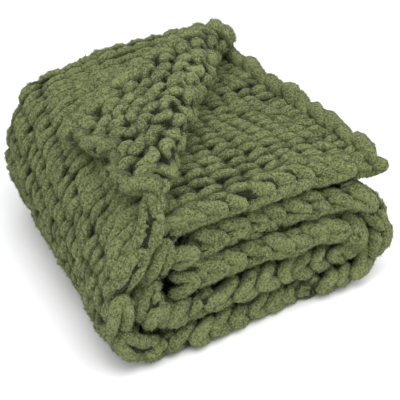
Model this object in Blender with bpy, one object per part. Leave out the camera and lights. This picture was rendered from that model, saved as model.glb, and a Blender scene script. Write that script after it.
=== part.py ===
"""Folded chunky knit blanket: one knitted cloth, doubled across its width, folded in three
along its length, with the top layer's free corner turned back. Metres, +Z up, the origin is
at the bottom centre of the folded stack."""

import math

import bmesh
import bpy
import numpy as np

# Folded size
FOLDED_WIDTH = 0.448
FOLDED_DEPTH = 0.494

# Cloth: a thick knit of plush yarn, with a small gap from one layer to the next
LAYER_PITCH = 0.0481
CLOTH_THICK = 0.0415
RIB_DEPTH = 0.0065
COURSE_DEPTH = 0.0055
CHAIN_RISE = 0.0035
CREASE_HALF = 0.0165
EDGE_NOSE = 0.012
EDGE_THIN = 0.8
SCALLOP = 0.003

# The two folds along the length and where the inner end stops
LEFT_REACH = 0.062
RIGHT_REACH = 0.049
RIGHT_STAND_OUT = 0.039
INNER_END_X = 0.130

# Turned back corner, measured on the flat cloth from the free end and the free side
FOLD_ALONG = 0.4026
FOLD_END_ALONG = 0.0249
FOLD_END_ACROSS = 0.452
ROLL_FRONT = 0.0238
ROLL_BACK = 0.0245
FLAP_STRETCH = 0.926
FLAP_SHEAR = 0.292
END_PULL = 0.134
PULL_SPAN = 0.88

# How the stack sits: it sags at the left, its front rises and leans back, and it tucks in below
LEFT_SAG = 0.0175
SAG_SPAN = 0.24
LEFT_SKEW = 0.021
LEFT_LEAN = 0.040
LEAN_SPAN = 0.62
FRONT_SET_BACK = 0.021
FRONT_RISE = 0.079
BOTTOM_TUCK = 0.008
TUCK_HEIGHT = 0.06
FRONT_WAVE = 0.004
TOP_WAVE = 0.003

# Rows of points along the cloth: stretch name, length share end, number of steps
ROWS = (
    ("top", 0.345, 18),
    ("left fold", 0.605, 13),
    ("bottom", 0.885, 4),
    ("right fold", 1.045, 9),
    ("middle", None, 3),
)
WALES_PER_SIDE = 11
CREASE_STEPS = 4

HALF_STACK = LAYER_PITCH / 2 + CLOTH_THICK / 2
FLOOR_DROP = LAYER_PITCH / 2 - CLOTH_THICK / 2
STACK_HEIGHT = 6 * LAYER_PITCH
CREASE_Y = FOLDED_DEPTH - HALF_STACK
CREASE_ARC = math.pi * LAYER_PITCH / 2
CLOTH_WIDTH = 2 * CREASE_Y + CREASE_ARC


def ease(t):
    t = np.clip(t, 0.0, 1.0)
    return t * t * (3.0 - 2.0 * t)


def fold_line():
    """Centre line of the doubled cloth, from the free end at the top right, round the left
    fold, along the bottom, round the right fold and back in: length, x, z, outward x and z."""
    left = HALF_STACK + LEFT_REACH
    right = FOLDED_WIDTH + RIGHT_STAND_OUT - HALF_STACK - RIGHT_REACH
    turn_down = np.radians(np.linspace(90, 270, 91))
    turn_up = np.radians(np.linspace(-90, 90, 91))
    x = np.concatenate([
        np.linspace(FOLDED_WIDTH, left, 80)[:-1],
        left + LEFT_REACH * np.cos(turn_down),
        np.linspace(left, right, 60)[1:-1],
        right + RIGHT_REACH * np.cos(turn_up),
        np.linspace(right, INNER_END_X, 60)[1:],
    ])
    z = np.concatenate([
        np.full(79, 5 * LAYER_PITCH),
        LAYER_PITCH * (3 + 2 * np.sin(turn_down)),
        np.full(58, LAYER_PITCH),
        LAYER_PITCH * (2 + np.sin(turn_up)),
        np.full(59, 3 * LAYER_PITCH),
    ])
    walked = np.concatenate([[0.0], np.cumsum(np.hypot(np.diff(x), np.diff(z)))])
    along = np.linspace(0.0, walked[-1], 1401)
    x = np.interp(along, walked, x)
    z = np.interp(along, walked, z)
    for _ in range(10):
        x[1:-1] = (x[:-2] + 2 * x[1:-1] + x[2:]) / 4
        z[1:-1] = (z[:-2] + 2 * z[1:-1] + z[2:]) / 4
    dx = np.gradient(x)
    dz = np.gradient(z)
    length = np.hypot(dx, dz)
    return along, x, z, dz / length, -dx / length


def beside_line(line, along, offset):
    """Points at an outward offset from the centre line; the free end runs on straight."""
    walked, x, z, out_x, out_z = line
    kept = np.clip(along, 0.0, walked[-1])
    before = np.minimum(along - kept, 0.0)
    px = np.interp(kept, walked, x) - before + np.interp(kept, walked, out_x) * offset
    pz = np.interp(kept, walked, z) + np.interp(kept, walked, out_z) * offset
    return px, pz


def middle_surface(line, along, across):
    """Middle of the cloth. across runs from the outer layer's free side, round the crease at
    the back, to the inner layer's free side."""
    half = LAYER_PITCH / 2
    bend = np.clip((across - CREASE_Y) / half, 0.0, math.pi)
    offset = half * np.cos(bend)
    back = CREASE_Y + half * np.sin(bend)
    far_leg = 2 * CREASE_Y + CREASE_ARC - across
    y = np.where(across < CREASE_Y, across, np.where(bend < math.pi, back, far_leg))
    outer_leg = np.clip(1 - across / CREASE_Y, 0.0, 1.0)
    along = along + END_PULL * outer_leg * np.clip(1 - along / PULL_SPAN, 0.0, 1.0)
    # Roll the corner over the slanting fold line and lay it on the layer below
    run = FOLD_ALONG - FOLD_END_ALONG
    slant = math.hypot(run, FOLD_END_ACROSS)
    ux = run / slant
    uy = FOLD_END_ACROSS / slant
    lengthwise = (FOLD_ALONG - along) * ux + y * uy
    past = (FOLD_ALONG - along) * uy - y * ux
    radius = ROLL_FRONT + (ROLL_BACK - ROLL_FRONT) * np.clip(lengthwise / slant, 0, 1)
    turned = (across < CREASE_Y) & (past > 0) & (along < FOLD_ALONG + 0.01)
    angle = np.clip(past / radius, 0.0, math.pi)
    rest = np.clip(past - math.pi * radius, 0.0, None)
    new_past = radius * np.sin(angle) - rest * FLAP_STRETCH
    new_lengthwise = lengthwise + rest * FLAP_SHEAR
    new_along = FOLD_ALONG - new_lengthwise * ux - new_past * uy
    new_y = new_lengthwise * uy - new_past * ux
    along = np.where(turned, new_along, along)
    y = np.where(turned, new_y, y)
    offset = np.where(turned, offset + radius * (1 - np.cos(angle)), offset)
    x, z = beside_line(line, along, offset)
    return x, y, z - FLOOR_DROP


def slump(x, y, z):
    """The stack's own softness: a smooth change of the whole space round it."""
    near = np.clip(1 - y / FOLDED_DEPTH, 0.0, 1.0)
    left = ease(1 - x / (LEAN_SPAN * FOLDED_WIDTH))
    high = z / STACK_HEIGHT
    sag = LEFT_SAG / STACK_HEIGHT * ease((SAG_SPAN - x) / SAG_SPAN * 1.4)
    lean = LEFT_LEAN * near * np.clip(1 - z / 0.2475, 0, 1)
    low = np.clip(1 - z / TUCK_HEIGHT, 0, 1)
    wave = FRONT_WAVE * near ** 3 * np.sin(21.0 * x + 88.0 * z)
    swell = TOP_WAVE * high ** 2 * np.sin(13.0 * x + 0.8) * np.sin(11.0 * y + 0.5)
    inside = near * ease((x - 0.05) / 0.09)
    set_back = FRONT_SET_BACK * inside * np.clip(1.2 * high, 0, 1) * ease((0.55 - x) / 0.22)
    rise = FRONT_RISE * inside * ease((0.48 - x) / 0.20)
    return (
        x + left * (LEFT_SKEW * (1 - near) - lean),
        y + BOTTOM_TUCK * low * low * near + wave * np.clip(z / 0.02, 0, 1) + set_back,
        z * (1 - sag + rise) + swell,
    )


def cloth_point(line, along, across):
    return np.stack(middle_surface(line, along, across), -1)


def settle(points):
    return np.stack(slump(points[..., 0], points[..., 1], points[..., 2]), -1)


def row_positions(total):
    """Where the rows of points lie along the cloth."""
    marks = [0.0]
    for _, end, steps in ROWS:
        start = marks[-1]
        stop = total if end is None else end
        marks += [start + (stop - start) * (k + 1) / steps for k in range(steps)]
    return np.array(marks)


def column_positions():
    """Two columns a wale: each face of the doubled cloth and the crease between them."""
    side = 2 * WALES_PER_SIDE
    first = np.linspace(0.0, CREASE_Y, side + 1)
    bend = np.linspace(CREASE_Y, CREASE_Y + CREASE_ARC, CREASE_STEPS + 1)[1:]
    last = np.linspace(CREASE_Y + CREASE_ARC, CLOTH_WIDTH, side + 1)[1:]
    return np.concatenate([first, bend, last])


def cloth_grid():
    """Outer face, inner face and rounded rim of the cloth as grids of points."""
    line = fold_line()
    total = line[0][-1]
    rows = row_positions(total)
    cols = column_positions()
    u, v = np.meshgrid(rows, cols, indexing="ij")
    step = 0.0008
    points = cloth_point(line, u, v)
    to_end = cloth_point(line, u + step, v) - cloth_point(line, u - step, v)
    end_low = cloth_point(line, u + step, v) - points
    end_high = points - cloth_point(line, u - step, v)
    to_end[0] = end_low[0]
    to_end[-1] = end_high[-1]
    to_side = cloth_point(line, u, v + step) - cloth_point(line, u, v - step)
    outward = -np.cross(to_end, to_side)
    outward /= np.linalg.norm(outward, axis=-1, keepdims=True)
    to_end /= np.linalg.norm(to_end, axis=-1, keepdims=True)
    to_side /= np.linalg.norm(to_side, axis=-1, keepdims=True)

    half = CLOTH_THICK / 2
    i = np.arange(len(rows))[:, None]
    j = np.arange(len(cols))[None, :]
    # Wales run along the cloth on the outer face and stay flat on the underside
    left_end = ROWS[1][1]
    bottom_end = ROWS[2][1]
    underneath = ((rows > left_end - 0.05) & (rows < bottom_end + 0.02))[:, None]
    outer = half - RIB_DEPTH * ((j % 2 == 0) & ~underneath)
    # Courses run across on the inner face of the top layers, with a raised chain at the end
    top_rows = ROWS[0][2]
    inner = half - COURSE_DEPTH * ((i % 2 == 1) & (i < top_rows)) + 0.0 * j
    inner = inner + CHAIN_RISE * ((i == 0) & (j % 2 == 1) & (j > 2))
    # The crease is pressed thinner inside, so the two faces stay apart
    first_bend = 2 * WALES_PER_SIDE
    in_crease = (j > first_bend) & (j < first_bend + CREASE_STEPS)
    inner = np.where(in_crease, CREASE_HALF, inner)
    on_rim = (i == 0) | (i == len(rows) - 1) | (j == 0) | (j == len(cols) - 1)
    outer = np.where(on_rim, outer * EDGE_THIN, outer)
    inner = np.where(on_rim, inner * EDGE_THIN, inner)
    # The underside stays level right out to the rim
    outer = np.where(on_rim & underneath, half, outer)
    out_face = points + outward * outer[..., None]
    in_face = points - outward * inner[..., None]

    nose = points.copy()
    bump = EDGE_NOSE + SCALLOP * np.where(i % 2 == 0, 1.0, -1.0)
    nose[:, 0] -= to_side[:, 0] * bump
    nose[:, -1] += to_side[:, -1] * bump
    bump = EDGE_NOSE + SCALLOP * np.where(j[0] % 2 == 1, 1.0, -1.0)[:, None]
    nose[0] -= to_end[0] * bump
    nose[-1] += to_end[-1] * bump
    return settle(out_face), settle(in_face), settle(nose)


def add_strip(bm, first, second):
    """Triangles between two equal lines of points."""
    for a, b, c, d in zip(first[:-1], first[1:], second[1:], second[:-1]):
        bm.faces.new((a, b, c))
        bm.faces.new((a, c, d))


def build_blanket():
    out_face, in_face, nose = cloth_grid()
    rows, cols = out_face.shape[:2]
    everything = np.concatenate([g.reshape(-1, 3) for g in (out_face, in_face)])
    rim_ok = np.zeros((rows, cols), bool)
    rim_ok[[0, -1], :] = True
    rim_ok[:, [0, -1]] = True
    everything = np.concatenate([everything, nose[rim_ok]])
    low = everything.min(0)
    middle = (low + everything.max(0)) / 2
    shift = np.array([middle[0], middle[1], low[2]])

    bm = bmesh.new()
    outer = [[bm.verts.new(out_face[r, c] - shift) for c in range(cols)] for r in range(rows)]
    inner = [[bm.verts.new(in_face[r, c] - shift) for c in range(cols)] for r in range(rows)]
    rim = {}
    for r in range(rows):
        for c in range(cols):
            if rim_ok[r, c]:
                rim[r, c] = bm.verts.new(nose[r, c] - shift)
    for r in range(rows - 1):
        add_strip(bm, outer[r], outer[r + 1])
        add_strip(bm, inner[r + 1], inner[r])
    around = [(0, c) for c in range(cols)]
    around += [(r, cols - 1) for r in range(1, rows)]
    around += [(rows - 1, c) for c in range(cols - 2, -1, -1)]
    around += [(r, 0) for r in range(rows - 2, -1, -1)]
    ring_out = [outer[r][c] for r, c in around]
    ring_mid = [rim[rc] for rc in around]
    ring_in = [inner[r][c] for r, c in around]
    add_strip(bm, ring_mid, ring_out)
    add_strip(bm, ring_in, ring_mid)
    bmesh.ops.recalc_face_normals(bm, faces=bm.faces[:])
    if bm.calc_volume(signed=True) < 0:
        bmesh.ops.reverse_faces(bm, faces=bm.faces[:])
    mesh = bpy.data.meshes.new("blanket")
    bm.to_mesh(mesh)
    bm.free()
    blanket = bpy.data.objects.new("blanket", mesh)
    bpy.context.scene.collection.objects.link(blanket)
    return blanket


def plush_material():
    material = bpy.data.materials.new("moss_plush_knit")
    material.use_nodes = True
    shader = material.node_tree.nodes["Principled BSDF"]
    shader.inputs["Base Color"].default_value = (0.105, 0.135, 0.055, 1.0)
    shader.inputs["Roughness"].default_value = 0.95
    return material


def main():
    for thing in list(bpy.data.objects):
        bpy.data.objects.remove(thing, do_unlink=True)
    blanket = build_blanket()
    blanket.data.materials.append(plush_material())


main()
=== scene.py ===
"""Folded throw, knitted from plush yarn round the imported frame.

The cloth is doubled across its width, folded in three along its length, and its top layer's
free corner is turned back. Every stitch is a real loop of yarn that follows those folds."""

import math

import bpy
import numpy as np
from bpy.props import (
    FloatProperty,
    FloatVectorProperty,
    IntProperty,
    PointerProperty,
)
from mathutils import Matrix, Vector


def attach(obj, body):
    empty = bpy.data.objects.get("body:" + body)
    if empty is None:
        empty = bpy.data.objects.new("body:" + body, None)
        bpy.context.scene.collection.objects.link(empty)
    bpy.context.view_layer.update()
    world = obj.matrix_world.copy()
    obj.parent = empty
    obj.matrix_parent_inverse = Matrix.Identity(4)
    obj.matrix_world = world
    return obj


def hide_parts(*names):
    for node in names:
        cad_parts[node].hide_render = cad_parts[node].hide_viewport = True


bl_info = {
    "name": "Folded Plush Knit Throw",
    "version": (1, 0, 0),
    "blender": (4, 5, 0),
    "location": "3D View > Sidebar > Throw",
    "description": "Knits a folded throw of plush yarn, loop by loop, and sets its stage",
    "category": "Add Mesh",
}

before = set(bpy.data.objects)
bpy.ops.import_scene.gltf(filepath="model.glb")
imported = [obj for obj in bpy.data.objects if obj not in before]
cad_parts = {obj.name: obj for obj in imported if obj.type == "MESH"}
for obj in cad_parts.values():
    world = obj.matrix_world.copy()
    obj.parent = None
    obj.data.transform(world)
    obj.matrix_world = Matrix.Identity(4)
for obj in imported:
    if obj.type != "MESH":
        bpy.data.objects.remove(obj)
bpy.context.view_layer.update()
NODE = "blanket"
BODY = "root"

# Folded size and cloth, in metres, as the solid has them
FOLDED_WIDTH = 0.448
FOLDED_DEPTH = 0.494
LAYER_PITCH = 0.0481
CLOTH_THICK = 0.0415

# The two folds along the length and where the inner end stops
LEFT_REACH = 0.062
RIGHT_REACH = 0.049
RIGHT_STAND_OUT = 0.039
INNER_END_X = 0.130

# Turned back corner, measured on the flat cloth from the free end and the free side
FOLD_ALONG = 0.4026
FOLD_END_ALONG = 0.0249
FOLD_END_ACROSS = 0.452
ROLL_FRONT = 0.0238
ROLL_BACK = 0.0245
FLAP_STRETCH = 0.926
FLAP_SHEAR = 0.292
END_PULL = 0.134
PULL_SPAN = 0.88

# How the stack sits
LEFT_SAG = 0.0175
SAG_SPAN = 0.24
LEFT_SKEW = 0.021
LEFT_LEAN = 0.040
LEAN_SPAN = 0.62
FRONT_SET_BACK = 0.021
FRONT_RISE = 0.079
LEAN_HEIGHT = 0.2475
BOTTOM_TUCK = 0.008
TUCK_HEIGHT = 0.06
FRONT_WAVE = 0.004
TOP_WAVE = 0.003

# Left front corner of the fold to the frame's origin, at the middle of the stack
ORIGIN = np.array([0.23452, 0.23765, 0.0])

HALF_STACK = LAYER_PITCH / 2 + CLOTH_THICK / 2
FLOOR_DROP = LAYER_PITCH / 2 - CLOTH_THICK / 2
STACK_HEIGHT = 6 * LAYER_PITCH
CREASE_Y = FOLDED_DEPTH - HALF_STACK
CREASE_ARC = math.pi * LAYER_PITCH / 2
CLOTH_WIDTH = 2 * CREASE_Y + CREASE_ARC

# Image the camera is framed for, in pixels
IMAGE = 400
SENSOR = 0.036

# Grid on the turned back corner for spacing its wales evenly, in metres
EVEN_ALONG = np.linspace(0.0, 0.36, 37)
EVEN_ACROSS = np.linspace(0.0, 0.22, 89)
EVEN_HEIGHT = -0.016
EVEN_FADE = 0.08

# Ground sheet, dark with painted shade between the stitches: its distance from the ends and
# sides, half its thickness and its points
GROUND_END_INSET = 0.014
GROUND_SIDE_INSET = 0.028
GROUND_HALF = 0.003
GROUND_POINTS = (131, 73)

# Where the cloth lies open, along it in metres. The corner's share is 1 on its fold line.
SIDE_RIM = 0.034
END_RIM = 0.03
UNDERSIDE = (0.70, 0.95)
INSIDE_FROM = 1.12
OUTER_CORNER_SHARE = 0.85
INNER_CORNER_SHARE = 1.12

# Stitches on the turned back corner's roll, as corner shares
ROLL_SHARE = 0.88
ROLL_SPREAD = 0.13

# Bare loops at the cloth's ends, held clear of most painted crevice shade: their lowest rise, its
# reach from the end and its fade
BARE_SHARE = 0.88
BARE_REACH = 0.022
BARE_FADE = 0.014

# Side chains: where they run slim round the left fold, and where the outer one is on the corner
SLIM_FROM_OUTER = 0.26
SLIM_FROM_INNER = 0.35
SLIM_TO = 0.51
SLIM_FADE = 0.03
CORNER_TO = 0.31
CORNER_FADE = 0.05

# Heights over the floor: of the lowest yarn, of the lowest fibre, and where pile begins
YARN_FLOOR = 0.0006
FIBRE_FLOOR = 0.0004
PILE_FROM = 0.004

# Pile: how far a fibre strays from its point, and how deep its foot sits
FIBRE_STRAY = 0.0022
FIBRE_FOOT = 0.0005

# Seeds of the smooth random pull and of the yarn's girth
PULL_SEED = 20
GIRTH_SEED = 31

# Noise scales of the plush, from single fibres to slow clouds of tone
FIBRE_SCALE = 700.0
TUFT_SCALE = 300.0
CLOUD_SCALE = 26.0

# Floor disc and soft lights: name, place, size and share of the key light's power
FLOOR_RINGS = (0.6, 1.2, 2.4, 5.0, 9.0)
FLOOR_TURNS = 48
SOFTBOXES = (
    ("key_softbox", (-0.4, -0.8, 2.2), 1.6, 1.0),
    ("fill_softbox", (1.6, -1.4, 1.6), 1.8, 0.45),
)
LIGHT_TARGET = (0.0, 0.0, 0.15)


def ease(t):
    t = np.clip(t, 0.0, 1.0)
    return t * t * (3.0 - 2.0 * t)


def fold_line():
    """Centre line of the doubled cloth, from the free end at the top right, round the left
    fold, along the bottom, round the right fold and back in."""
    left = HALF_STACK + LEFT_REACH
    right = FOLDED_WIDTH + RIGHT_STAND_OUT - HALF_STACK - RIGHT_REACH
    turn_down = np.radians(np.linspace(90, 270, 91))
    turn_up = np.radians(np.linspace(-90, 90, 91))
    x = np.concatenate([
        np.linspace(FOLDED_WIDTH, left, 80)[:-1],
        left + LEFT_REACH * np.cos(turn_down),
        np.linspace(left, right, 60)[1:-1],
        right + RIGHT_REACH * np.cos(turn_up),
        np.linspace(right, INNER_END_X, 60)[1:],
    ])
    z = np.concatenate([
        np.full(79, 5 * LAYER_PITCH),
        LAYER_PITCH * (3 + 2 * np.sin(turn_down)),
        np.full(58, LAYER_PITCH),
        LAYER_PITCH * (2 + np.sin(turn_up)),
        np.full(59, 3 * LAYER_PITCH),
    ])
    walked = np.concatenate([[0.0], np.cumsum(np.hypot(np.diff(x), np.diff(z)))])
    along = np.linspace(0.0, walked[-1], 1401)
    x = np.interp(along, walked, x)
    z = np.interp(along, walked, z)
    for _ in range(10):
        x[1:-1] = (x[:-2] + 2 * x[1:-1] + x[2:]) / 4
        z[1:-1] = (z[:-2] + 2 * z[1:-1] + z[2:]) / 4
    dx = np.gradient(x)
    dz = np.gradient(z)
    length = np.hypot(dx, dz)
    return along, x, z, dz / length, -dx / length


LINE = fold_line()
CLOTH_LENGTH = float(LINE[0][-1])


def beside_line(along, offset):
    """Points at an outward offset from the centre line, which runs on straight at both ends."""
    walked, x, z, out_x, out_z = LINE
    kept = np.clip(along, 0.0, CLOTH_LENGTH)
    past_end = along - kept
    px = np.interp(kept, walked, x) - past_end + np.interp(kept, walked, out_x) * offset
    pz = np.interp(kept, walked, z) + np.interp(kept, walked, out_z) * offset
    return px, pz


def middle_surface(along, across):
    """Middle of the cloth. across runs from the outer layer's free side, round the crease at
    the back, to the inner layer's free side."""
    half = LAYER_PITCH / 2
    bend = np.clip((across - CREASE_Y) / half, 0.0, math.pi)
    offset = half * np.cos(bend)
    back = CREASE_Y + half * np.sin(bend)
    far_leg = 2 * CREASE_Y + CREASE_ARC - across
    y = np.where(across < CREASE_Y, across, np.where(bend < math.pi, back, far_leg))
    outer_leg = np.clip(1 - across / CREASE_Y, 0.0, 1.0)
    along = along + END_PULL * outer_leg * np.clip(1 - along / PULL_SPAN, 0.0, 1.0)
    run = FOLD_ALONG - FOLD_END_ALONG
    slant = math.hypot(run, FOLD_END_ACROSS)
    ux = run / slant
    uy = FOLD_END_ACROSS / slant
    lengthwise = (FOLD_ALONG - along) * ux + y * uy
    past = (FOLD_ALONG - along) * uy - y * ux
    radius = ROLL_FRONT + (ROLL_BACK - ROLL_FRONT) * np.clip(lengthwise / slant, 0, 1)
    turned = (across < CREASE_Y) & (past > 0) & (along < FOLD_ALONG + 0.01)
    angle = np.clip(past / radius, 0.0, math.pi)
    rest = np.clip(past - math.pi * radius, 0.0, None)
    new_past = radius * np.sin(angle) - rest * FLAP_STRETCH
    new_lengthwise = lengthwise + rest * FLAP_SHEAR
    new_along = FOLD_ALONG - new_lengthwise * ux - new_past * uy
    new_y = new_lengthwise * uy - new_past * ux
    along = np.where(turned, new_along, along)
    y = np.where(turned, new_y, y)
    offset = np.where(turned, offset + radius * (1 - np.cos(angle)), offset)
    x, z = beside_line(along, offset)
    return np.stack([x, y, z - FLOOR_DROP], -1)


def slump(points):
    """The stack's own softness: a smooth change of the whole space round it."""
    x, y, z = points[..., 0], points[..., 1], points[..., 2]
    near = np.clip(1 - y / FOLDED_DEPTH, 0.0, 1.0)
    left = ease(1 - x / (LEAN_SPAN * FOLDED_WIDTH))
    sag = LEFT_SAG / STACK_HEIGHT * ease((SAG_SPAN - x) / SAG_SPAN * 1.4)
    lean = LEFT_LEAN * near * np.clip(1 - z / LEAN_HEIGHT, 0, 1)
    low = np.clip(1 - z / TUCK_HEIGHT, 0, 1)
    wave = FRONT_WAVE * near ** 3 * np.sin(21.0 * x + 88.0 * z) * np.clip(z / 0.02, 0, 1)
    high = z / STACK_HEIGHT
    swell = TOP_WAVE * high ** 2 * np.sin(13.0 * x + 0.8) * np.sin(11.0 * y + 0.5)
    inside = near * ease((x - 0.05) / 0.09)
    set_back = FRONT_SET_BACK * inside * np.clip(1.2 * high, 0, 1) * ease((0.55 - x) / 0.22)
    rise = FRONT_RISE * inside * ease((0.48 - x) / 0.20)
    return np.stack([
        x + left * (LEFT_SKEW * (1 - near) - lean),
        y + BOTTOM_TUCK * low * low * near + wave + set_back,
        z * (1 - sag + rise) + swell,
    ], -1) - ORIGIN


def lay_on_cloth(along, across, rise):
    """Points at a height above the middle of the cloth, and the outward direction there."""
    step = 0.0008
    middle = middle_surface(along, across)
    to_end = middle_surface(along + step, across) - middle_surface(along - step, across)
    to_side = middle_surface(along, across + step) - middle_surface(along, across - step)
    outward = -np.cross(to_end, to_side)
    outward /= np.maximum(np.linalg.norm(outward, axis=-1, keepdims=True), 1e-12)
    low = slump(middle + outward * (rise - 0.001)[..., None])
    high = slump(middle + outward * (rise + 0.001)[..., None])
    up = high - low
    up /= np.maximum(np.linalg.norm(up, axis=-1, keepdims=True), 1e-12)
    return (low + high) / 2, up


def even_places():
    """Where the turned back corner's wales lie on the flat cloth, so that they are evenly
    spaced on the folded one. The corner is drawn wide where it hangs over the left fold."""
    along, across = np.meshgrid(EVEN_ALONG, EVEN_ACROSS, indexing="ij")
    points, _ = lay_on_cloth(along, across, np.full(along.shape, EVEN_HEIGHT))
    steps = np.linalg.norm(np.diff(points, axis=1), axis=-1)
    walked = np.concatenate([np.zeros((len(along), 1)), np.cumsum(steps, axis=1)], axis=1)
    share = EVEN_ACROSS / EVEN_ACROSS[-1]
    rows = [np.interp(share * row[-1], row, EVEN_ACROSS) for row in walked]
    return np.array(rows) - across


def soft_field(rng, along, across, cell):
    """Smooth random values over the flat cloth, one free value every cell metres."""
    rows = int(CLOTH_LENGTH / cell) + 6
    cols = int(CLOTH_WIDTH / cell) + 6
    knots = rng.normal(size=(rows, cols))
    a = np.clip(along / cell + 2, 0, rows - 1.001)
    b = np.clip(across / cell + 2, 0, cols - 1.001)
    i = a.astype(int)
    j = b.astype(int)
    s = ease(a - i)
    t = ease(b - j)
    near_row = knots[i, j] * (1 - t) + knots[i, j + 1] * t
    next_row = knots[i + 1, j] * (1 - t) + knots[i + 1, j + 1] * t
    return near_row * (1 - s) + next_row * s


class Strands:
    """Tubes of yarn gathered into one mesh, with a rise and a tone value on each point."""

    def __init__(self, rng, ring):
        self.rng = rng
        self.ring = ring
        self.points = []
        self.faces = []
        self.caps = []
        self.rise = []
        self.tone = []
        self.normals = []
        self.open_area = []
        self.count = 0

    def lumps(self, steps):
        """Uneven pile: small smooth changes of the tube's radius."""
        fine = self.rng.normal(size=(steps, self.ring))
        wide = self.rng.normal(size=(steps, self.ring))
        for _ in range(3):
            wide[1:-1] = (wide[:-2] + 2 * wide[1:-1] + wide[2:]) / 4
            wide = (np.roll(wide, 1, 1) + 2 * wide + np.roll(wide, -1, 1)) / 4
        return 0.7 * fine + 1.7 * wide

    def add(self, path, up, radius, rise, tone, lump, seen):
        """One tube along path. rise gives a point's height, out of 1, from its height on the
        tube. seen gives the share of the outer and the inner face that lies open."""
        steps = len(path)
        forward = np.gradient(path, axis=0)
        length = np.maximum(np.linalg.norm(forward, axis=1, keepdims=True), 1e-12)
        forward = forward / length
        side = np.cross(forward, up)
        side /= np.maximum(np.linalg.norm(side, axis=1, keepdims=True), 1e-9)
        top = np.cross(side, forward)
        turn = np.linspace(0, 2 * math.pi, self.ring, endpoint=False)
        size = radius[:, None] * (1 + lump * self.lumps(steps))
        normal = np.cos(turn)[:, None] * side[:, None] + np.sin(turn)[:, None] * top[:, None]
        ringed = path[:, None] + size[..., None] * normal
        ringed[..., 2] = np.maximum(ringed[..., 2], YARN_FLOOR)
        grid = self.count + np.arange(steps * self.ring).reshape(steps, self.ring)
        after = np.roll(grid, -1, 1)
        quads = np.stack([grid[:-1], after[:-1], after[1:], grid[1:]], -1)
        height = rise(size * np.sin(turn))
        open_face = np.where(np.sin(turn) > 0, seen[0][:, None], seen[1][:, None])
        open_face = open_face * (height > 0.5) * (ringed[..., 2] > PILE_FROM)
        area = 2 * math.pi / self.ring * size * length
        self.points.append(ringed.reshape(-1, 3))
        self.normals.append(normal.reshape(-1, 3))
        self.open_area.append((open_face * area).ravel())
        self.faces.append(quads.reshape(-1, 4))
        self.caps += [grid[0][::-1], grid[-1]]
        self.rise.append(height.ravel())
        self.tone.append(np.repeat(tone, self.ring))
        self.count += steps * self.ring

    def build(self, name):
        """Link the gathered tubes as one object."""
        quads = np.concatenate(self.faces)
        caps = np.array(self.caps)
        corners = np.concatenate([quads.ravel(), caps.ravel()])
        totals = np.concatenate([np.full(len(quads), 4), np.full(len(caps), self.ring)])
        values = {"rise": np.concatenate(self.rise), "tone": np.concatenate(self.tone)}
        return linked_mesh(name, np.concatenate(self.points), corners, totals, values)

    def build_pile(self, name, density, length, width):
        """Short fibres on the faces that lie open, each one a slim triangle."""
        rng = self.rng
        area = np.concatenate(self.open_area)
        total = int(density * area.sum())
        if total == 0:
            return None
        pick = rng.choice(len(area), size=total, p=area / area.sum())
        normal = np.concatenate(self.normals)[pick]
        slide = rng.normal(size=(total, 3)) * FIBRE_STRAY
        slide -= normal * (slide * normal).sum(1, keepdims=True)
        foot = np.concatenate(self.points)[pick] + slide - normal * FIBRE_FOOT
        way = np.cross(normal, rng.normal(size=(total, 3)))
        way /= np.maximum(np.linalg.norm(way, axis=1, keepdims=True), 1e-9)
        lean = np.cross(normal, way) * rng.uniform(-0.9, 0.9, (total, 1))
        lean = lean + way * rng.uniform(-0.5, 0.5, (total, 1))
        tip = foot + (normal + lean) * length * rng.uniform(0.6, 1.3, (total, 1))
        half = way * width / 2
        points = np.stack([foot - half, foot + half, tip], 1)
        points[..., 2] = np.maximum(points[..., 2], FIBRE_FLOOR)
        # Painted shade at the fibres' feet, lighter tips
        rise = np.concatenate(self.rise)[pick]
        rise = np.stack([rise - 0.10, rise - 0.10, rise + 0.15], 1)
        tone = np.concatenate(self.tone)[pick][:, None] + rng.normal(size=(total, 1))
        values = {"rise": rise.ravel(), "tone": np.repeat(tone * 1.3, 3, 1).ravel()}
        corners = np.arange(total * 3)
        return linked_mesh(name, points.reshape(-1, 3), corners, np.full(total, 3), values)


def linked_mesh(name, points, corners, totals, values):
    """An object from a list of face corners, with its values on each point."""
    starts = np.concatenate([[0], np.cumsum(totals)[:-1]])
    mesh = bpy.data.meshes.new(name)
    mesh.vertices.add(len(points))
    mesh.vertices.foreach_set("co", points.astype(np.float32).ravel())
    mesh.loops.add(len(corners))
    mesh.loops.foreach_set("vertex_index", corners.astype(np.int32))
    mesh.polygons.add(len(totals))
    mesh.polygons.foreach_set("loop_start", starts.astype(np.int32))
    mesh.polygons.foreach_set("loop_total", totals.astype(np.int32))
    mesh.update(calc_edges=True)
    mesh.validate()
    mesh.polygons.foreach_set("use_smooth", np.ones(len(mesh.polygons), bool))
    for key, value in values.items():
        add_values(mesh, key, value)
    thing = bpy.data.objects.new(name, mesh)
    bpy.context.scene.collection.objects.link(thing)
    return thing


def add_values(mesh, name, values):
    layer = mesh.attributes.new(name, "FLOAT", "POINT")
    layer.data.foreach_set("value", np.asarray(values, np.float32))


class Socket:
    """A shader socket that adds Math nodes where Python adds, multiplies or compares."""

    def __init__(self, tree, link):
        self.tree = tree
        self.link = link

    def _math(self, operation, *values):
        return self.tree.add("ShaderNodeMath", {"operation": operation}, *values)

    def __add__(self, other):
        return self._math("ADD", self, other)

    __radd__ = __add__

    def __sub__(self, other):
        return self._math("SUBTRACT", self, other)

    def __rsub__(self, other):
        return self._math("SUBTRACT", other, self)

    def __mul__(self, other):
        return self._math("MULTIPLY", self, other)

    __rmul__ = __mul__

    def kept(self):
        """The value held between 0 and 1."""
        return self.tree.add(
            "ShaderNodeMath", {"operation": "ADD", "use_clamp": True}, self, 0.0
        )


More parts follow.
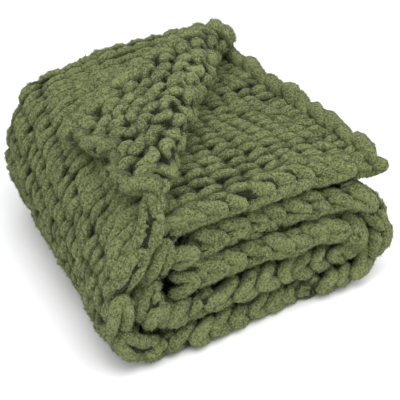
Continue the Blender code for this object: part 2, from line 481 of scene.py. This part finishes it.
class Shader:
    """A material's node tree, built one call at a time."""

    def __init__(self, name):
        self.material = bpy.data.materials.new(name)
        self.material.use_nodes = True
        self.nodes = self.material.node_tree.nodes
        self.links = self.material.node_tree.links
        self.surface = self.nodes["Principled BSDF"]

    def add(self, kind, settings, *values, out=0, **named):
        """Add a node: its settings first, then its sockets by place or by name."""
        node = self.nodes.new(kind)
        for key, value in settings.items():
            setattr(node, key, value)
        for place, value in enumerate(values):
            self.feed(node.inputs[place], value)
        for key, value in named.items():
            self.feed(node.inputs[key.replace("_", " ")], value)
        return Socket(self, node.outputs[out])

    def feed(self, socket, value):
        if isinstance(value, Socket):
            self.links.new(value.link, socket)
        else:
            socket.default_value = value

    def blend(self, share, first, second):
        """Mix two colours by a value."""
        node = self.nodes.new("ShaderNodeMix")
        node.data_type = "RGBA"
        colours = [s for s in node.inputs if s.type == "RGBA"]
        self.feed(node.inputs["Factor"], share)
        for socket, value in zip(colours, (first, second)):
            self.feed(socket, value if isinstance(value, Socket) else (*value, 1.0))
        result = [s for s in node.outputs if s.type == "RGBA"][0]
        return Socket(self, result)

    def noise(self, place, scale, detail, roughness):
        return self.add(
            "ShaderNodeTexNoise",
            {"noise_dimensions": "3D"},
            Vector=place,
            Scale=scale,
            Detail=detail,
            Roughness=roughness,
        )

    def value(self, name):
        return self.add("ShaderNodeAttribute", {"attribute_name": name}, out=2)


class YarnSizes(bpy.types.PropertyGroup):
    radius: FloatProperty(
        name="Yarn Radius",
        description="Half the thickness of the plush yarn where it lies free",
        default=0.0099,
        subtype="DISTANCE",
    )
    link_radius: FloatProperty(
        name="Chain Yarn Radius",
        description="Half the thickness of the yarn in the chains along the edges",
        default=0.0110,
        subtype="DISTANCE",
    )
    leg_rise: FloatProperty(
        name="Leg Rise",
        description="How far a stitch's legs stand over the middle of the cloth",
        default=0.0126,
        subtype="DISTANCE",
    )
    courses: IntProperty(
        name="Courses",
        description="Rows of stitches along the cloth's length",
        default=37,
    )
    side_wales: IntProperty(
        name="Wales a Side",
        description="Columns of stitches on each half of the doubled cloth",
        default=11,
    )
    crease_wales: IntProperty(
        name="Wales Round the Crease",
        description="Columns of stitches that turn round the crease at the back",
        default=2,
    )
    reach: FloatProperty(
        name="Loop Reach",
        description="Half a loop's length as a share of the course pitch",
        default=0.90,
    )
    spread: FloatProperty(
        name="Leg Spread",
        description="How much a stitch's two legs lean apart, as a share of the wale",
        default=0.165,
    )
    end_inset: FloatProperty(
        name="End Inset",
        description="Distance from the cloth's end to the middle of its last course",
        default=0.031,
        subtype="DISTANCE",
    )
    side_links: IntProperty(
        name="Side Links",
        description="Stitches of the chain along each free side",
        default=37,
    )
    side_width: FloatProperty(
        name="Side Chain Width",
        description="Distance between the two legs of a side chain's stitch",
        default=0.0245,
        subtype="DISTANCE",
    )
    end_width: FloatProperty(
        name="End Chain Width",
        description="Distance between the two legs of an end chain's stitch",
        default=0.018,
        subtype="DISTANCE",
    )
    uneven: FloatProperty(
        name="Unevenness",
        description="How far hand knitting moves a stitch off its even place",
        default=0.0036,
        subtype="DISTANCE",
    )
    lump: FloatProperty(
        name="Lumps",
        description="How uneven the plush pile is, as a share of the radius",
        default=0.10,
    )
    ring: IntProperty(
        name="Points Round",
        description="Points round the yarn",
        default=13,
    )
    steps: IntProperty(
        name="Steps a Stitch",
        description="Points along the yarn in one stitch",
        default=25,
    )
    hidden_steps: IntProperty(
        name="Hidden Steps",
        description="Points along the yarn in a stitch that lies inside the stack",
        default=13,
    )
    pile_density: FloatProperty(
        name="Pile Density",
        description="Fibres standing on a square metre of open yarn",
        default=190000.0,
    )
    pile_length: FloatProperty(
        name="Pile Length",
        description="Length of one fibre",
        default=0.0023,
        subtype="DISTANCE",
    )
    pile_width: FloatProperty(
        name="Pile Width",
        description="Width of one fibre at its foot",
        default=0.0011,
        subtype="DISTANCE",
    )


class PlushLook(bpy.types.PropertyGroup):
    # Lit copy of the yarn's colour: the noise speckle between it and the shaded copy below is
    # painted self-shade of the pile
    lit: FloatVectorProperty(
        name="Pile Tips",
        description="Colour of the yarn's pile where it stands open",
        subtype="COLOR",
        default=(0.262, 0.305, 0.122),
    )
    # Shaded copy of the yarn's colour: painted shade between the fibres of the pile
    shade: FloatVectorProperty(
        name="Pile Roots",
        description="Colour between the fibres of the pile",
        subtype="COLOR",
        default=(0.068, 0.083, 0.029),
    )
    # Painted crevice shade, laid where the yarn sinks low between the stitches
    deep: FloatVectorProperty(
        name="Crevices",
        description="Colour deep between the stitches",
        subtype="COLOR",
        default=(0.010, 0.013, 0.0045),
    )
    bump: FloatProperty(
        name="Pile Height",
        description="Height of the fine pile",
        default=0.0080,
        subtype="DISTANCE",
    )
    sheen: FloatProperty(
        name="Sheen",
        description="Soft light caught by the pile at the yarn's edges",
        default=0.25,
    )


class StageLook(bpy.types.PropertyGroup):
    azimuth: FloatProperty(
        name="Camera Azimuth",
        description="Direction the camera looks from, 0 looking along +Y",
        default=math.radians(-30.4),
        subtype="ANGLE",
    )
    elevation: FloatProperty(
        name="Camera Elevation",
        description="Height of the camera over the horizon",
        default=math.radians(32.95),
        subtype="ANGLE",
    )
    distance: FloatProperty(
        name="Camera Distance",
        description="Distance from the camera to the point it looks at",
        default=1.666,
        subtype="DISTANCE",
    )
    target: FloatVectorProperty(
        name="Camera Target",
        description="Point the camera looks at",
        subtype="XYZ",
        default=(0.0305, -0.0097, 0.09),
    )
    focal_pixels: FloatProperty(
        name="Focal Length in Pixels",
        description="Focal length on a picture as wide as the photograph",
        default=1007.0,
    )
    sky: FloatProperty(
        name="Room Light",
        description="Even light from all round",
        default=0.92,
    )
    key: FloatProperty(
        name="Key Light",
        description="Power of the large soft light above",
        default=34.0,
        subtype="POWER",
    )
    floor: FloatVectorProperty(
        name="Floor",
        description="Colour of the plain pale floor",
        subtype="COLOR",
        default=(0.93, 0.93, 0.945),
    )


def plush_material():
    """Plush pile: two sizes of tuft speckle it between a shaded and a lit colour as painted
    shade, with slow changes of tone, and painted crevice shade darkens it between the stitches.
    """
    look = bpy.context.scene.plush_look
    shader = Shader("moss_plush_pile")
    place = shader.add("ShaderNodeTexCoord", {}, out=3)
    rise = shader.value("rise")
    tone = shader.value("tone")
    tuft = shader.noise(place, TUFT_SCALE, 2.0, 0.60)
    fibre = shader.noise(place, FIBRE_SCALE, 2.0, 0.65)
    cloud = shader.noise(place, CLOUD_SCALE, 2.0, 0.50)
    # Noise speckle between the shaded and the lit copy of the colour: painted self-shade of the
    # pile, with slow random clouds and tone
    pile = (tuft * 0.5 + fibre * 0.5 - 0.5) * 8.0 + 0.58
    pile = (pile + (cloud - 0.5) * 0.8 + tone * 0.10).kept()
    # Painted crevice shade: yarn low on its tube, by its rise value, darkens towards the crevice
    # colour
    clear_of_painted_shade = ((rise - 0.58) * 3.0).kept()
    colour = shader.blend(pile, tuple(look.shade), tuple(look.lit))
    colour = shader.blend(clear_of_painted_shade, tuple(look.deep), colour)
    shader.feed(shader.surface.inputs["Base Color"], colour)
    shader.surface.inputs["Roughness"].default_value = 0.92
    shader.surface.inputs["Specular IOR Level"].default_value = 0.15
    shader.surface.inputs["Sheen Weight"].default_value = look.sheen
    shader.surface.inputs["Sheen Roughness"].default_value = 0.45
    shader.surface.inputs["Sheen Tint"].default_value = (0.62, 0.68, 0.45, 1.0)
    height = tuft * 0.62 + fibre * 0.38
    bump = shader.add(
        "ShaderNodeBump", {}, Strength=1.0, Distance=look.bump, Height=height
    )
    shader.feed(shader.surface.inputs["Normal"], bump)
    return shader.material


def painted_shade_sheet_material():
    """Painted shade seen between the stitches, on the ground sheet: crevice colour to shaded pile
    colour by noise.
    """
    look = bpy.context.scene.plush_look
    shader = Shader("moss_plush_painted_shade")
    place = shader.add("ShaderNodeTexCoord", {}, out=3)
    tuft = shader.noise(place, TUFT_SCALE, 3.0, 0.6)
    tuft = ((tuft - 0.5) * 6.0 + 0.45).kept()
    colour = shader.blend(tuft, tuple(look.deep), tuple(look.shade))
    shader.feed(shader.surface.inputs["Base Color"], colour)
    shader.surface.inputs["Roughness"].default_value = 0.95
    shader.surface.inputs["Specular IOR Level"].default_value = 0.1
    bump = shader.add("ShaderNodeBump", {}, Strength=0.8, Distance=look.bump, Height=tuft)
    shader.feed(shader.surface.inputs["Normal"], bump)
    return shader.material


def dressed(thing, material):
    """Give a piece its material, slot and body."""
    thing.data.materials.append(material)
    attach(thing, BODY)
    return thing


def wale_places(sizes, wale):
    """Distance across the cloth of a place counted in wales."""
    side = sizes.side_wales
    bend = side + sizes.crease_wales
    marks = (0, side, bend, bend + side)
    places = (0.0, CREASE_Y, CREASE_Y + CREASE_ARC, CLOTH_WIDTH)
    beyond = wale - np.clip(wale, 0, marks[-1])
    return np.interp(wale, marks, places) + beyond * CREASE_Y / side


class LinkShape:
    """Form of one stitch of a chain, with its stretch and slant as shares of the step. A
    blunt stitch is as wide near its point as at its legs, a loose one strays more."""

    def __init__(self, radius, width, stretch, slant, blunt=1.0, loose=1.0):
        self.radius = radius
        self.width = width
        self.stretch = stretch
        self.slant = slant
        self.blunt = blunt
        self.loose = loose


class Knitting:
    """The even places of the stitches and what hand knitting does to them."""

    def __init__(self):
        self.sizes = bpy.context.scene.yarn_sizes
        self.wales = 2 * self.sizes.side_wales + self.sizes.crease_wales
        courses = self.sizes.courses
        self.pitch = (CLOTH_LENGTH - 2 * self.sizes.end_inset) / (courses - 1)
        self.full_rise = self.sizes.radius + self.sizes.leg_rise
        self.even = even_places()

    def place(self, along, wale, rise):
        """Where the yarn lies: the same uneven pull moves all loops that touch."""
        across = wale_places(self.sizes, wale)
        across = across + self.evened(along, across)
        rng = np.random.default_rng(PULL_SEED)
        pull = self.sizes.uneven
        shift_along = soft_field(rng, along, across, 0.050) * pull
        shift_across = soft_field(rng, along, across, 0.060) * pull * 0.9
        shift_up = soft_field(rng, along, across, 0.045) * pull * 0.8
        return lay_on_cloth(along + shift_along, across + shift_across, rise + shift_up)

    def evened(self, along, across):
        """How far a wale of the turned back corner moves to be evenly spaced."""
        row = np.clip(along / EVEN_ALONG[1], 0, len(EVEN_ALONG) - 1.001)
        column = np.clip(across / EVEN_ACROSS[1], 0, len(EVEN_ACROSS) - 1.001)
        i, j = row.astype(int), column.astype(int)
        s, t = row - i, column - j
        here = self.even[i, j] * (1 - t) + self.even[i, j + 1] * t
        after = self.even[i + 1, j] * (1 - t) + self.even[i + 1, j + 1] * t
        moved = np.where((across > 0) & (across < EVEN_ACROSS[-1]), here * (1 - s) + after * s, 0)
        return moved * ease((EVEN_ALONG[-1] - along) / EVEN_FADE)

    def girth(self, along, wale):
        rng = np.random.default_rng(GIRTH_SEED)
        across = wale_places(self.sizes, wale)
        return self.sizes.radius * (1 + 0.05 * soft_field(rng, along, across, 0.025))

    def seen(self, along, across):
        """Share of the cloth's outer and inner face that lies open."""
        from_side = np.minimum(across, CLOTH_WIDTH - across)
        corner = along / FOLD_ALONG + from_side / FOLD_END_ACROSS
        rim = (from_side < SIDE_RIM) | (along < END_RIM)
        under = (along > UNDERSIDE[0]) & (along < UNDERSIDE[1])
        inside = along > INSIDE_FROM
        outer_leg = across < CREASE_Y + CREASE_ARC + 0.01
        outer = rim | (outer_leg & ~under & ~inside & (corner > OUTER_CORNER_SHARE))
        inner = rim | (corner < INNER_CORNER_SHARE)
        return outer.astype(float), inner.astype(float)

    def course(self, strands, row):
        """One course: a single yarn that makes a loop in every wale. The stitches turn over
        at the crease, so that the V side faces up on both layers. Loops at the ends show all
        round, so they don't get the painted crevice shade."""
        sizes = self.sizes
        centre = sizes.end_inset + row * self.pitch
        spans = []
        for number in range(self.wales):
            across = wale_places(sizes, number + 0.5)
            outer, inner = self.seen(np.array([centre]), np.array([across]))
            steps = sizes.steps if outer[0] + inner[0] > 0 else sizes.hidden_steps
            spans.append(np.linspace(number, number + 1, steps, endpoint=False))
        wale = np.concatenate([*spans, [self.wales]])
        reach = sizes.reach * (1 + 0.06 * self.tones(200 + row, wale * 2))
        along = centre + reach * self.pitch * np.cos(2 * math.pi * wale)
        flap = ease((0.40 - centre) / 0.1) * ease(sizes.side_wales - wale)
        spread = (sizes.spread - 0.05 * flap) * (1 + 0.15 * self.tones(300 + row, wale * 2))
        lean = wale + spread * np.sin(4 * math.pi * wale)
        proud = sizes.leg_rise * (1 + 0.12 * self.tones(400 + row, wale * 4))
        proud = proud * (1 - 0.38 * flap)
        turned_over = np.clip(5 * (sizes.side_wales + 1 - wale), -1, 1)
        rise = -proud * np.cos(4 * math.pi * wale) * turned_over
        path, up = self.place(along, lean, rise)
        radius = self.girth(along, lean) * (1 - 0.05 * np.cos(4 * math.pi * wale))
        corner = along / FOLD_ALONG + wale_places(sizes, lean) / FOLD_END_ACROSS
        on_roll = np.exp(-(((corner - ROLL_SHARE) / ROLL_SPREAD) ** 2))
        radius = radius * (1 + 0.10 * flap + 0.20 * on_roll)
        tone = self.tones(500 + row, wale * 2)
        full = self.full_rise - sizes.leg_rise * (0.5 * flap + 1 - np.abs(turned_over))
        from_end = np.minimum(along, CLOTH_LENGTH - along)
        bare = BARE_SHARE * ease((BARE_REACH - from_end) / BARE_FADE)

        # Rise out of 1, which sets the painted crevice shade and where pile stands; bare end
        # loops are held high so they get little painted shade
        def share(height):
            risen = np.abs(rise[:, None] + height) / full[:, None]
            return np.maximum(risen, bare[:, None])

        seen = self.seen(along, wale_places(sizes, wale))
        strands.add(path, up, radius, share, tone, sizes.lump, seen)

    def finish(self, strands, name):
        """Link the yarn and its pile."""
        sizes = self.sizes
        plush = bpy.context.scene.plush
        dressed(strands.build(name), plush)
        pile = strands.build_pile(
            "pile_" + name, sizes.pile_density, sizes.pile_length, sizes.pile_width
        )
        if pile:
            dressed(pile, plush)

    def tones(self, seed, places):
        """A small random tone for each half stitch."""
        knots = np.random.default_rng(seed).normal(size=int(places.max()) + 2)
        return np.interp(places, np.arange(len(knots)), knots)

    def link(self, strands, middle, step, centre, shape, seed, openness=1.0):
        """One V of a chain. Its point lies over the legs of the V before it. middle gives the
        yarn's place for a way along the chain, a way across it and a depth."""
        rng = np.random.default_rng(seed)
        girth, shift, reach, sink, aside, skew = rng.normal(size=6) * shape.loose
        t = np.linspace(-1.0, 1.0, self.sizes.steps + 2)
        bend = np.sqrt(t * t + 0.05)
        length = 1.38 * shape.stretch * (1 + 0.07 * reach)
        run = centre + step * (length * (bend - 0.60) + 0.06 * shift)
        run = run + step * (shape.slant + 0.10 * skew) * t
        spread = np.sin(1.5 * np.clip(shape.blunt * t, -1, 1))
        lateral = 0.5 * shape.width * spread + 0.0012 * aside
        depth = 0.0050 - 0.0165 * t * t + 0.0012 * sink
        path, _ = middle(run, lateral, depth)
        outer, _ = middle(run, lateral, depth + 0.002)
        up = outer - path
        up /= np.maximum(np.linalg.norm(up, axis=1, keepdims=True), 1e-12)
        radius = shape.radius * (1 + 0.06 * girth) * np.clip(3.4 - 3 * abs(t), 0.4, 1)
        tone = self.tones(seed, t + 1)

        # Rise on a chain stitch: sets its painted crevice shade and where its pile stands; held
        # at 0.70 or more so its flanks get little painted shade
        def share(height):
            risen = 0.80 + 0.42 * height / shape.radius + 12.0 * depth[:, None]
            return np.maximum(risen, 0.70)

        open_faces = (np.full(len(t), openness), np.full(len(t), 0.4 * openness))
        strands.add(path, up, radius, share, tone, self.sizes.lump, open_faces)

    def side_link(self, strands, number, far_side):
        """One V of the chain along a free side, laid through the cloth's thickness. Round the
        left fold the chain is pulled long and slim, with half as many stitches."""
        sizes = self.sizes
        step = CLOTH_LENGTH / sizes.side_links
        centre = (number + 0.15) * step
        outward = 1.0 if far_side else -1.0
        edge = self.wales if far_side else 0.0
        wale_width = CREASE_Y / sizes.side_wales
        begin = SLIM_FROM_INNER if far_side else SLIM_FROM_OUTER
        pulled = ease((centre - begin) / SLIM_FADE) * ease((SLIM_TO - centre) / SLIM_FADE)
        pulled = float(pulled)
        on_flap = 0.0 if far_side else float(ease((CORNER_TO - centre) / CORNER_FADE))
        if pulled > 0.5 and number % 2:
            return

        def middle(run, lateral, depth):
            out = depth * (1 - 0.45 * on_flap) - 0.004 * (1 + on_flap)
            return self.place(run, edge + outward * out / wale_width, lateral)

        shape = LinkShape(
            radius=sizes.link_radius * (0.94 - 0.15 * pulled),
            width=sizes.side_width * (1 - 0.17 * pulled),
            stretch=1 + 1.6 * pulled,
            slant=0.0,
            blunt=1 + 1.6 * pulled,
            loose=1.35 - 0.35 * max(pulled, on_flap),
        )
        self.link(strands, middle, step, centre, shape, 900 + number + 60 * far_side)

    def end_link(self, strands, number, edge, outward):
        """One V of the chain that closes an end. On the turned back corner it lies along the
        edge, elsewhere it stands on the inner face as a rope of slanting lumps."""
        sizes = self.sizes
        if outward < 0 and number < sizes.side_wales:
            inset = 0.011
            lean = 0.7
            lift = 0.005
            shape = LinkShape(sizes.link_radius, sizes.end_width * 0.8, 1.0, 0.15)
        else:
            inset = 0.006
            lean = 0.97
            lift = 0.022 if outward < 0 else 0.010
            shape = LinkShape(sizes.link_radius * 1.10, sizes.end_width * 0.7, 0.95, 0.22)
        upright = math.sqrt(1 - lean * lean)

        def middle(run, lateral, depth):
            along = edge + outward * (upright * depth - lean * lateral - inset)
            return self.place(along, run, -lift - lean * depth - upright * lateral)

        openness = 1.0 if outward < 0 else 0.15
        self.link(strands, middle, 1.0, number + 0.5, shape, 1300 + number, openness)


class THROW_OT_ground(bpy.types.Operator):
    """Lay the thin ground of the cloth that the loops stand on, through every fold, dark with
    painted shade that shows between the stitches
    """

    bl_idname = "throw.ground"
    bl_label = "Lay Ground"

    def execute(self, context):
        ends = (GROUND_END_INSET, CLOTH_LENGTH - GROUND_END_INSET)
        sides = (GROUND_SIDE_INSET, CLOTH_WIDTH - GROUND_SIDE_INSET)
        along = np.linspace(*ends, GROUND_POINTS[0])
        across = np.linspace(*sides, GROUND_POINTS[1])
        u, v = np.meshgrid(along, across, indexing="ij")
        half = np.full(u.shape, GROUND_HALF)
        outer, _ = lay_on_cloth(u, v, half)
        inner, _ = lay_on_cloth(u, v, -half)
        rows, cols = u.shape
        points = np.concatenate([outer.reshape(-1, 3), inner.reshape(-1, 3)])
        grid = np.arange(rows * cols).reshape(rows, cols)
        under = grid + rows * cols
        faces = np.stack([grid[:-1, :-1], grid[:-1, 1:], grid[1:, 1:], grid[1:, :-1]], -1)
        below = np.stack([under[:-1, :-1], under[1:, :-1], under[1:, 1:], under[:-1, 1:]], -1)
        rim = np.concatenate([
            grid[0, :-1], grid[:-1, -1], grid[-1, :0:-1], grid[:0:-1, 0],
        ])
        after = np.roll(rim, -1)
        wall = np.stack([after, rim, rim + rows * cols, after + rows * cols], -1)
        mesh = bpy.data.meshes.new("ground_cloth_painted_shade")
        every = np.concatenate([faces.reshape(-1, 4), below.reshape(-1, 4), wall])
        mesh.from_pydata(points.tolist(), [], every.tolist())
        mesh.polygons.foreach_set("use_smooth", np.ones(len(mesh.polygons), bool))
        mesh.update()
        ground = bpy.data.objects.new("ground_cloth_painted_shade", mesh)
        context.scene.collection.objects.link(ground)
        dressed(ground, painted_shade_sheet_material())
        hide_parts(NODE)
        return {"FINISHED"}


class THROW_OT_stitches(bpy.types.Operator):
    """Knit every course of the cloth as one yarn that loops through its neighbours"""

    bl_idname = "throw.stitches"
    bl_label = "Knit Stitches"

    def execute(self, context):
        knitting = Knitting()
        sizes = knitting.sizes
        parts = ("knit_top", "knit_left_fold", "knit_bottom", "knit_inside")
        marks = (0, 10, 19, 28, sizes.courses)
        for name, first, last in zip(parts, marks[:-1], marks[1:]):
            strands = Strands(np.random.default_rng(71 + first), sizes.ring)
            for row in range(first, last):
                knitting.course(strands, row)
            knitting.finish(strands, name)
        return {"FINISHED"}


class THROW_OT_sides(bpy.types.Operator):
    """Work the looped ropes along the two free sides of the cloth"""

    bl_idname = "throw.sides"
    bl_label = "Work Sides"

    def execute(self, context):
        knitting = Knitting()
        for name, far_side in (("side_outer_layer", False), ("side_inner_layer", True)):
            strands = Strands(np.random.default_rng(83 + far_side), knitting.sizes.ring)
            for number in range(knitting.sizes.side_links + 1):
                knitting.side_link(strands, number, far_side)
            knitting.finish(strands, name)
        return {"FINISHED"}


class THROW_OT_ends(bpy.types.Operator):
    """Work the chains that close the stitches at both ends of the cloth"""

    bl_idname = "throw.ends"
    bl_label = "Work End Chains"

    def execute(self, context):
        knitting = Knitting()
        inset = 0.005
        ends = (
            ("chain_free_end", inset, -1.0),
            ("chain_inner_end", CLOTH_LENGTH - inset, 1.0),
        )
        for name, edge, outward in ends:
            strands = Strands(np.random.default_rng(97), knitting.sizes.ring)
            for wale in range(knitting.wales):
                knitting.end_link(strands, wale, edge, outward)
            knitting.finish(strands, name)
        return {"FINISHED"}


class THROW_OT_stage(bpy.types.Operator):
    """Set the pale floor, the soft studio light and the camera"""

    bl_idname = "throw.stage"
    bl_label = "Set Stage"

    def execute(self, context):
        look = context.scene.stage_look
        scene = context.scene
        scene.view_settings.view_transform = "Standard"
        self.floor(scene, look)
        self.lights(scene, look)
        self.camera(scene, look)
        return {"FINISHED"}

    def floor(self, scene, look):
        """A wide flat disc of rings."""
        turns = FLOOR_TURNS
        mesh = bpy.data.meshes.new("pale_floor")
        points = [(0.0, 0.0, 0.0)]
        faces = []
        for radius in FLOOR_RINGS:
            for k in range(turns):
                angle = 2 * math.pi * k / turns
                points.append((radius * math.cos(angle), radius * math.sin(angle), 0.0))
        for k in range(turns):
            faces.append((0, 1 + k, 1 + (k + 1) % turns))
        for ring in range(len(FLOOR_RINGS) - 1):
            low = 1 + ring * turns
            high = low + turns
            for k in range(turns):
                after = (k + 1) % turns
                faces.append((low + k, high + k, high + after, low + after))
        mesh.from_pydata(points, [], faces)
        floor = bpy.data.objects.new("pale_floor", mesh)
        scene.collection.objects.link(floor)
        shader = Shader("pale_floor_paint")
        place = shader.add("ShaderNodeTexCoord", {}, out=3)
        grain = shader.noise(place, 60.0, 2.0, 0.5)
        tint = tuple(look.floor)
        colour = shader.blend(grain, tint, tuple(min(1.0, c * 1.01) for c in tint))
        shader.feed(shader.surface.inputs["Base Color"], colour)
        shader.surface.inputs["Roughness"].default_value = 0.9
        shader.surface.inputs["Specular IOR Level"].default_value = 0.0
        mesh.materials.append(shader.material)
        floor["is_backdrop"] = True

    def lights(self, scene, look):
        world = bpy.data.worlds.new("studio_room")
        world.use_nodes = True
        background = world.node_tree.nodes["Background"]
        background.inputs["Color"].default_value = (1.0, 1.0, 1.0, 1.0)
        background.inputs["Strength"].default_value = look.sky
        scene.world = world
        for name, place, size, share in SOFTBOXES:
            light = bpy.data.lights.new(name, "AREA")
            light.shape = "SQUARE"
            light.size = size
            light.energy = look.key * share
            lamp = bpy.data.objects.new(name, light)
            lamp.location = place
            aim = Vector(LIGHT_TARGET) - Vector(place)
            lamp.rotation_euler = aim.to_track_quat("-Z", "Y").to_euler()
            scene.collection.objects.link(lamp)

    def camera(self, scene, look):
        turn = look.azimuth
        tilt = look.elevation
        back = Vector((
            math.sin(turn) * math.cos(tilt),
            -math.cos(turn) * math.cos(tilt),
            math.sin(tilt),
        ))
        lens = bpy.data.cameras.new("photo_camera")
        lens.sensor_width = SENSOR * 1000
        lens.lens = look.focal_pixels / IMAGE * SENSOR * 1000
        camera = bpy.data.objects.new("photo_camera", lens)
        camera.location = Vector(look.target) + back * look.distance
        camera.rotation_euler = (-back).to_track_quat("-Z", "Y").to_euler()
        scene.collection.objects.link(camera)
        scene.camera = camera


class VIEW3D_PT_throw(bpy.types.Panel):
    bl_label = "Plush Knit Throw"
    bl_space_type = "VIEW_3D"
    bl_region_type = "UI"
    bl_category = "Throw"

    def draw(self, context):
        scene = context.scene
        layout = self.layout
        for group in (scene.yarn_sizes, scene.plush_look, scene.stage_look):
            box = layout.box()
            for name in group.bl_rna.properties.keys():
                if name not in {"rna_type", "name"}:
                    box.prop(group, name)
        for operator in OPERATORS:
            layout.operator(operator.bl_idname)


OPERATORS = (
    THROW_OT_ground,
    THROW_OT_stitches,
    THROW_OT_sides,
    THROW_OT_ends,
    THROW_OT_stage,
)
CLASSES = (YarnSizes, PlushLook, StageLook, *OPERATORS, VIEW3D_PT_throw)


def register():
    for cls in CLASSES:
        bpy.utils.register_class(cls)
    bpy.types.Scene.yarn_sizes = PointerProperty(type=YarnSizes)
    bpy.types.Scene.plush_look = PointerProperty(type=PlushLook)
    bpy.types.Scene.stage_look = PointerProperty(type=StageLook)
    bpy.types.Scene.plush = PointerProperty(type=bpy.types.Material)


def unregister():
    for name in ("plush", "stage_look", "plush_look", "yarn_sizes"):
        delattr(bpy.types.Scene, name)
    for cls in reversed(CLASSES):
        bpy.utils.unregister_class(cls)


def main():
    register()
    bpy.context.scene.plush = plush_material()
    bpy.ops.throw.ground()
    bpy.ops.throw.stitches()
    bpy.ops.throw.sides()
    bpy.ops.throw.ends()
    bpy.ops.throw.stage()


if __name__ == "__main__":
    main()
